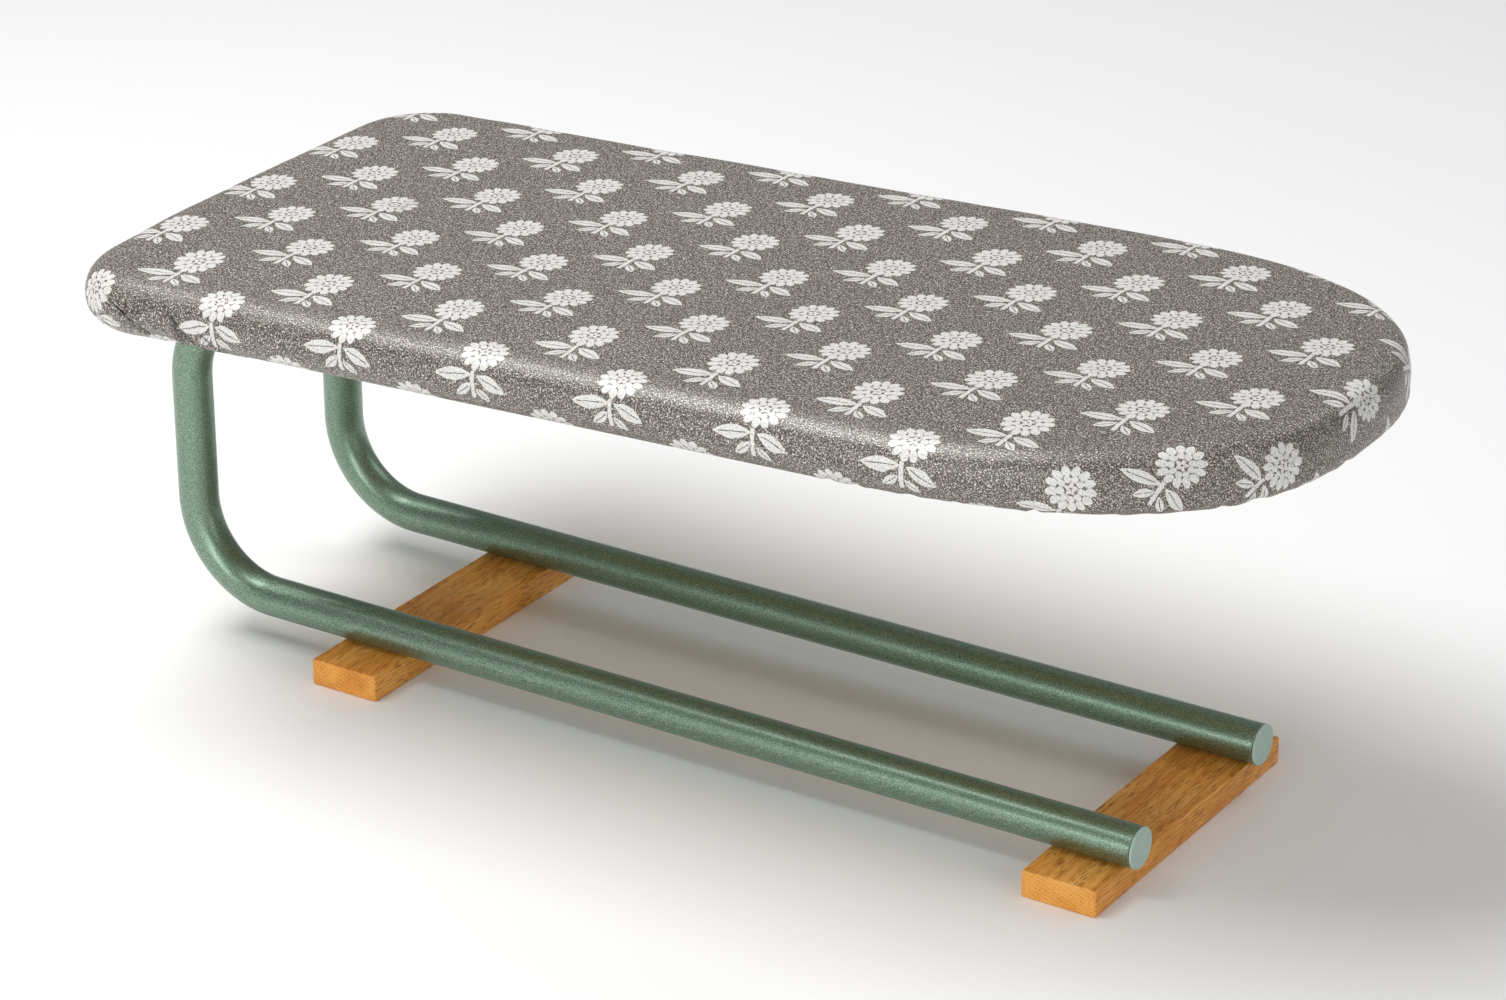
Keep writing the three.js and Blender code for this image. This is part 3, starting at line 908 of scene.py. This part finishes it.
def wrapped_mesh(name, rows, places, displace, flat_name=None):
    """A skin with the board's outline. Each row is (share, outward, above, turn, reach): the share of
    the way to the middle line, the place across the rim, which way the surface faces there (0 up,
    pi down) and how far out the flat cloth reaches. The first row is filled across the board. The
    attribute called flat_name keeps each point's place in the flat cloth and how far the folds raise
    it, which is below 0 in a valley."""
    points = []
    flats = []
    for share, outward, above, turn, reach in rows:
        for station in places:
            distance = leaned(station, turn)
            direction = OUTLINE.outward(distance)
            core = OUTLINE.at(distance)
            place = core.lerp(spine_point(core), share)
            pulled = cloth_pull(distance) * (1 - smooth(0, 0.45, share))
            flat = place + direction * (reach - pulled)
            edge = place + direction * outward
            rim_place = (edge.x, edge.y, above)
            lift, slide = displace(station, turn, reach, share, rim_place)
            raised = lift - unevenness(rim_place, turn, share)
            edge += direction * lift * math.sin(turn)
            edge += Vector((-direction.y, direction.x)) * slide
            points.append((edge.x, edge.y, above + lift * math.cos(turn)))
            flats.append((flat.x, flat.y, raised))
    size = len(places)
    faces = ring_faces(len(rows), size)
    half = size // 2
    # The first ring is closed by quads between mirrored stations on its two sides.
    for i in range(half):
        quad = (i, (size - i) % size, (size - i - 1) % size, i + 1)
        faces.append(tuple(dict.fromkeys(quad)))
    obj = object_from(name, points, [face for face in faces if len(face) > 2])
    if flat_name:
        attribute = obj.data.attributes.new(flat_name, "FLOAT_VECTOR", "POINT")
        attribute.data.foreach_set("vector", [value for flat in flats for value in flat])
    return obj


# -------- the cloth's folds

def smooth(low, high, value):
    """0 at low, 1 at high, smooth between."""
    share = min(max((value - low) / (high - low), 0), 1)
    return share * share * (3 - 2 * share)


def bell(value, middle, width):
    """1 at the middle, falling away smoothly on both sides of it."""
    return math.exp(-((value - middle) / width) ** 2)


def interpolate(rows, value):
    """The later columns of a table, at a value of its first column, which rises."""
    for low, high in zip(rows, rows[1:]):
        if value <= high[0]:
            share = max((value - low[0]) / (high[0] - low[0]), 0)
            return [start + (stop - start) * share for start, stop in zip(low[1:], high[1:])]
    return rows[-1][1:]


class Crease:
    """A valley in the gathered cloth, along a line of (degrees round the rim, millimetres along). It
    deepens over `growth` degrees from the line's start."""

    def __init__(self, line, depth, width, growth=45):
        self.line = [(degrees, along * MM) for degrees, along in line]
        self.onset, self.start = self.line[0]
        self.depth = depth * MM
        self.width = width * MM
        self.growth = growth

    def lift(self, distance, degrees):
        """How far the crease raises the cloth there; below 0 in the valley."""
        if degrees < self.onset:
            return 0.0
        half = OUTLINE.length / 2
        offset = (distance - self.start + half) % OUTLINE.length - half
        if abs(offset) > 60 * MM:
            return 0.0
        away = (offset + self.start - interpolate(self.line, degrees)[0]) / self.width
        shoulders = 0.35 * bell(abs(away), 2.0, 1.3)
        grown = smooth(self.onset, self.onset + self.growth, degrees)
        return self.depth * grown * (shoulders - bell(away, 0, 1))


def gathered_creases():
    """The creases round the board: listed ones by the pleat, seeded ones elsewhere."""
    rng = random.Random(7)
    zones = [
        # From, to, spacing, depth (all in millimetres), and the angle where each starts to show.
        (-98, 98, (17, 30), (0.6, 1.2), (150, 168)),
        (108, 144, (9, 14), (0.5, 1.0), (120, 150)),
        (250, 560, (19, 36), (0.5, 1.1), (152, 168)),
        (574, 1152, (10, 24), (0.8, 2.0), (112, 152)),
        (1166, 1560, (19, 36), (0.5, 1.2), (148, 168)),
        (1566, 1624, (8, 13), (1.2, 2.4), (84, 130)),
    ]
    creases = []
    for start, stop, spacing, depth, onset in zones:
        place = start + rng.uniform(*spacing) / 2
        while place < stop:
            lean = rng.uniform(-7, 7)
            line = [(rng.uniform(*onset), place - lean), (180, place + lean * 0.3), (200, place)]
            creases.append(Crease(line, rng.uniform(*depth), rng.uniform(1.9, 3.6)))
            place += rng.uniform(*spacing)
    creases += [
        Crease([(68, 184), (82, 187.7), (92, 191.6), (112, 193.3), (150, 194), (180, 199)], 2.3, 1.5, 24),
        Crease([(70, 189), (80, 191), (92, 193.3), (108, 198), (134, 203.5), (170, 214)], 2.0, 1.4, 30),
        Crease([(94, 206), (112, 211), (150, 219), (180, 236)], 1.8, 1.8, 30),
    ]
    return creases


CREASES = gathered_creases()

# The overlapped pleat by the near rear corner, as (degrees round the rim, millimetres along).
PLEAT_LINE = (
    (68, 148), (84, 155), (93, 160.5), (101, 164.4), (113, 168.7), (134, 173.5), (150, 179), (200, 194),
)

# Across the pleat, in millimetres: (station from the pleat's line, slide along the rim, lift). The
# cloth dips into a narrow gap and comes back over its own edge.
PLEAT_PROFILE = (
    (-45, 0, 0), (-20, 0, 0.3), (-8, 0, 0.6), (-4.4, 0, 0.6), (-3.4, 0.1, -0.2), (-2.6, 0.3, -1.7),
    (-1.8, 0.5, -2.8), (-1.0, 0.8, -3.4), (-0.4, 1.0, -3.4), (0, 0.5, -2.3), (0.3, -0.2, -0.8),
    (0.8, -0.5, 0.6), (1.6, -0.3, 1.2), (8, 0, 1.0), (22, 0, 0.3), (45, 0, 0),
)


def leaned(station, turn):
    """The stations beside the pleat lean with it, so that the fold runs along one of them."""
    degrees = math.degrees(turn)
    if degrees < PLEAT_LINE[0][0]:
        return station
    lean = interpolate(PLEAT_LINE, degrees)[0] * MM - PLEAT_AT
    return station + lean * bell(station, PLEAT_AT, 45 * MM)


def pleat_fold(station, degrees):
    """The cloth on the pleat's far side lies over the cloth on its near side: (lift, slide)."""
    offset = (station - PLEAT_AT) / MM
    if not PLEAT_PROFILE[0][0] < offset < PLEAT_PROFILE[-1][0]:
        return 0.0, 0.0
    grown = smooth(72, 94, degrees) * MM
    slide, lift = interpolate(PLEAT_PROFILE, offset)
    if offset > 0:
        # The lip settles lower down the rim.
        lift = min(lift, 1.2 - 1.4 * smooth(94, 122, degrees))
    return lift * grown, slide * grown


def cloth_pull(distance):
    """How far the cloth is drawn outwards where the pleat takes it up, by the near rear corner."""
    return 7 * MM * bell(distance, 150 * MM, 75 * MM)


# How far the padding gives way, in millimetres: at the upper edge of each side, and at the nose.
NEAR_EDGE_SINK = 3.2
FAR_EDGE_SINK = 0.8
NOSE_DRAW_IN = 3.2


def edge_sink(y):
    """How far the pad's upper edge gives way there, in millimetres."""
    return NEAR_EDGE_SINK * smooth(-60, -135, y / MM) + FAR_EDGE_SINK * smooth(60, 130, y / MM)


def unevenness(place, turn, share):
    """The padding is a little uneven under the cloth, gives way along the board's upper edge, and is
    drawn in by the hem round the nose."""
    x, y, z = place
    degrees = math.degrees(turn)
    drawn_in = smooth(500, 620, x / MM) * smooth(25, 80, degrees) * (1 - smooth(100, 135, degrees))
    broad = noise.noise(Vector((x * 15, y * 15, z * 15 + 4)))
    fine = noise.noise(Vector((x * 38, y * 38, z * 38 + 9)))
    waves = (0.55 * broad + 0.20 * fine) * (1 - smooth(120, 165, degrees))
    upper = (1 - smooth(10, 78, degrees)) * (1 - smooth(0, 0.30, share))
    return (waves - NOSE_DRAW_IN * drawn_in - upper * edge_sink(y)) * MM


def cloth_fold(station, turn, reach, share, place):
    """How far the cover stands out of its smooth shape, and how far it slides along the rim."""
    degrees = min(math.degrees(turn), 200)
    lift = unevenness(place, turn, share)
    if share > 0 or degrees < 60:
        return lift, 0.0
    distance = leaned(station, turn)
    for crease in CREASES:
        lift += crease.lift(distance, degrees)
    fold, slide = pleat_fold(station, degrees)
    lift += fold
    # The corner beside the pleat hangs a little slack.
    slack = bell(distance, 136 * MM, 20 * MM)
    lift += 1.8 * MM * slack * smooth(70, 120, degrees) * (1 - smooth(150, 180, degrees))
    # The elastic puckers the hem all round.
    pucker = smooth(HALF_TURN, HALF_TURN + 20 * MM, reach)
    ripple = math.sin(distance / (1.45 * MM) + 3 * noise.noise(Vector((distance * 30, 0, 0))))
    lift += 0.55 * MM * pucker * ripple
    return lift, slide


# -------- the board's soft layers

UNDER_WIDTH = 23.5 * MM
HEM_ROLL_RADIUS = 2.4 * MM
HEM_ROLL_TURN = 1.7 * math.pi
HEM_RISE = 0.3 * MM
HEM_HEIGHT = UNDERSIDE + HEM_RISE

# The flat top's rings, as shares of the way from the rim to the middle line.
TOP_SHARES = (0.92, 0.8, 0.68, 0.56, 0.44, 0.33, 0.24, 0.16, 0.10, 0.055, 0.025)


def top_rows(above, shares):
    """Rows of a flat layer at one height."""
    return [(share, 0.0, above, 0.0, 0.0) for share in shares]


def rim_row(radius, angle):
    """One row round the rim, at an angle from its top."""
    flat = RIM_FLAT if angle <= math.pi / 2 else -RIM_FLAT
    return (0, radius * math.sin(angle), radius * math.cos(angle) + flat, angle, RIM_RADIUS * angle)


def cover_rows():
    """The cover's rows, from the board's middle over the rim to the end of the hem's roll."""
    rows = top_rows(RIM_RADIUS + RIM_FLAT, TOP_SHARES)
    steps = 28
    rows += [rim_row(RIM_RADIUS, math.pi * i / steps) for i in range(steps + 1)]
    steps = 10
    for i in range(1, steps + 1):
        inward = UNDER_WIDTH * i / steps
        above = UNDERSIDE + HEM_RISE * (i / steps) ** 2
        rows.append((0, -inward, above, math.pi, HALF_TURN + inward))
    # The hem rolls up round the elastic.
    steps = 12
    for i in range(1, steps + 1):
        roll = HEM_ROLL_TURN * i / steps
        outward = -UNDER_WIDTH - HEM_ROLL_RADIUS * math.sin(roll)
        above = HEM_HEIGHT + HEM_ROLL_RADIUS * (1 - math.cos(roll))
        reach = HALF_TURN + UNDER_WIDTH + HEM_ROLL_RADIUS * roll
        rows.append((0, outward, above, math.pi + roll, reach))
    return rows


def add_cover(material):
    """One sheet: flat on top, round the rim, gathered underneath and rolled into a hem."""
    cover = wrapped_mesh("printed_cover", cover_rows(), stations(), cloth_fold, "cloth_flat")
    cover.data.transform(BOARD_FRAME)
    fix_normals(cover)
    thickness = cover.modifiers.new("thickness", "SOLIDIFY")
    thickness.thickness = CLOTH_THICKNESS
    thickness.offset = -1
    apply_modifiers(cover)
    finish_piece(cover, material, ["board_cover"])
    return cover


def pad_shape(distance, turn, reach, share, place):
    """The pad gives way where the cloth is drawn in, so that it stays under the cloth."""
    lift, _ = cloth_fold(distance, turn, reach, share, place)
    on_panel = turn >= math.pi and place[2] > -RIM_RADIUS * 0.6
    return (0.0 if on_panel else min(lift, unevenness(place, turn, share))), 0.0


def add_padding(material):
    """The felt pad: a layer over the panel and a bead rolled round its edge."""
    under_cloth = 1.2 * MM
    radius = RIM_RADIUS - under_cloth
    panel_edge = RIM_RADIUS - PANEL_INSET + GAP
    panel_top = PANEL_THICKNESS + GAP
    lip = 18.5 * MM
    rows = top_rows(radius + RIM_FLAT, TOP_SHARES)
    steps = 18
    rows += [rim_row(radius, math.pi * i / steps) for i in range(steps + 1)]
    # Under the board and round the panel's edge, as (outward, above) points.
    low = -radius - RIM_FLAT
    under = [
        (-lip * 0.5, low),
        (-lip + 3 * MM, low),
        (-lip + 0.8 * MM, low + 0.8 * MM),
        (-lip, low + 3 * MM),
        (-lip, -3 * MM),
        (-lip + 1.5 * MM, -GAP),
        (-lip * 0.5, -GAP),
        (panel_edge, -GAP),
        (panel_edge, panel_top * 0.5),
        (panel_edge, panel_top),
    ]
    rows += [(0, outward, above, math.pi, 0) for outward, above in under]
    rows += top_rows(panel_top, tuple(reversed(TOP_SHARES)))
    places = stations()
    padding = wrapped_mesh("felt_pad", rows, places, pad_shape)
    close_last_ring(padding, len(rows), len(places))
    padding.data.transform(BOARD_FRAME)
    fix_normals(padding)
    finish_piece(padding, material, ["board_padding"])
    return padding


def close_last_ring(obj, rings, size):
    """Fills the last ring across the board, as wrapped_mesh does the first."""
    first = (rings - 1) * size
    with editing(obj) as work:
        work.verts.ensure_lookup_table()
        for i in range(size // 2):
            corners = (i, i + 1, (size - i - 1) % size, (size - i) % size)
            quad = dict.fromkeys(work.verts[first + corner] for corner in corners)
            if len(quad) > 2:
                work.faces.new(tuple(quad))


def hem_line(inward, above, step):
    """Points of a line that runs all round the underside at that place in the hem."""
    count = round(OUTLINE.length / step)
    for i in range(count):
        distance = OUTLINE.length * i / count
        place = OUTLINE.at(distance) - OUTLINE.outward(distance) * inward
        yield distance, Vector((place.x, place.y, above))


def add_elastic(material):
    """The braided cord inside the hem."""
    radius = 1.35 * MM
    sides = 12
    upward = Vector((0, 0, 1))
    height = HEM_HEIGHT + HEM_ROLL_RADIUS
    centre_line = [point for _, point in hem_line(UNDER_WIDTH, height, 4 * MM)]
    points = []
    for i, centre in enumerate(centre_line):
        after = centre_line[(i + 1) % len(centre_line)]
        tangent = (after - centre_line[i - 1]).normalized()
        points += circle_points(centre, tangent.cross(upward), upward, radius, sides)
    elastic = object_from("elastic_cord", points, ring_faces(len(centre_line), sides, close=True))
    elastic.data.transform(BOARD_FRAME)
    fix_normals(elastic)
    finish_piece(elastic, material, ["hem_elastic"])
    return elastic


def add_stitching(material):
    """One row of stitches that closes the hem, on the underside."""
    stitch_length = 2.4 * MM
    thread = 0.28 * MM
    spacing = 3.4 * MM
    inward = UNDER_WIDTH - 5.5 * MM
    upward = Vector((0, 0, 1))
    size = Matrix.Diagonal((stitch_length / 2, thread, thread * 0.8, 1))
    stitching = object_from("hem_stitching", [], [])
    with editing(stitching) as work:
        for distance, middle in hem_line(inward, HEM_HEIGHT - 0.15 * MM, spacing):
            lift, _ = cloth_fold(distance, math.pi, HALF_TURN + inward, 0, middle)
            outward = OUTLINE.outward(distance)
            along = Vector((-outward.y, outward.x, 0))
            across = Vector((outward.x, outward.y, 0))
            turned = Matrix((along, across, upward)).transposed().to_4x4()
            matrix = Matrix.Translation(middle - upward * lift) @ turned @ size
            bmesh.ops.create_icosphere(work, subdivisions=1, radius=1.0, matrix=matrix)
    stitching.data.transform(BOARD_FRAME)
    finish_piece(stitching, material)
    return stitching


# -------- assembly

def main():
    """Builds everything around the frame, and gives the kept CAD pieces their materials."""
    add_camera()
    add_studio()

    enamel = enamel_material()
    for side, y in SIDES:
        add_tube(side, y, enamel)
    add_caps(cap_material())
    add_strips(beech_material())
    zinc = zinc_material()
    add_sole_bolts(zinc)

    padding = add_padding(felt_material())
    cover = add_cover(cover_material())
    elastic = add_elastic(elastic_material())
    stitching = add_stitching(thread_material())
    # The cloth's flat size: the rim's half turn, the part under the board and the hem's roll all round.
    cut_margin = HALF_TURN + UNDER_WIDTH + HEM_ROLL_TURN * HEM_ROLL_RADIUS
    flat_length = BOARD_NOSE - BOARD_REAR + 2 * (cut_margin - RIM_RADIUS)
    flat_width = 2 * (BOARD_HALF_WIDTH + cut_margin - RIM_RADIUS)
    0.9 * flat_width * flat_length

    plywood = plywood_material()
    for name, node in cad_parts.items():
        if name == "board_panel":
            dress(node, plywood)
        elif "insert" in name or name.startswith("panel_bolt"):
            dress(node, zinc)


main()
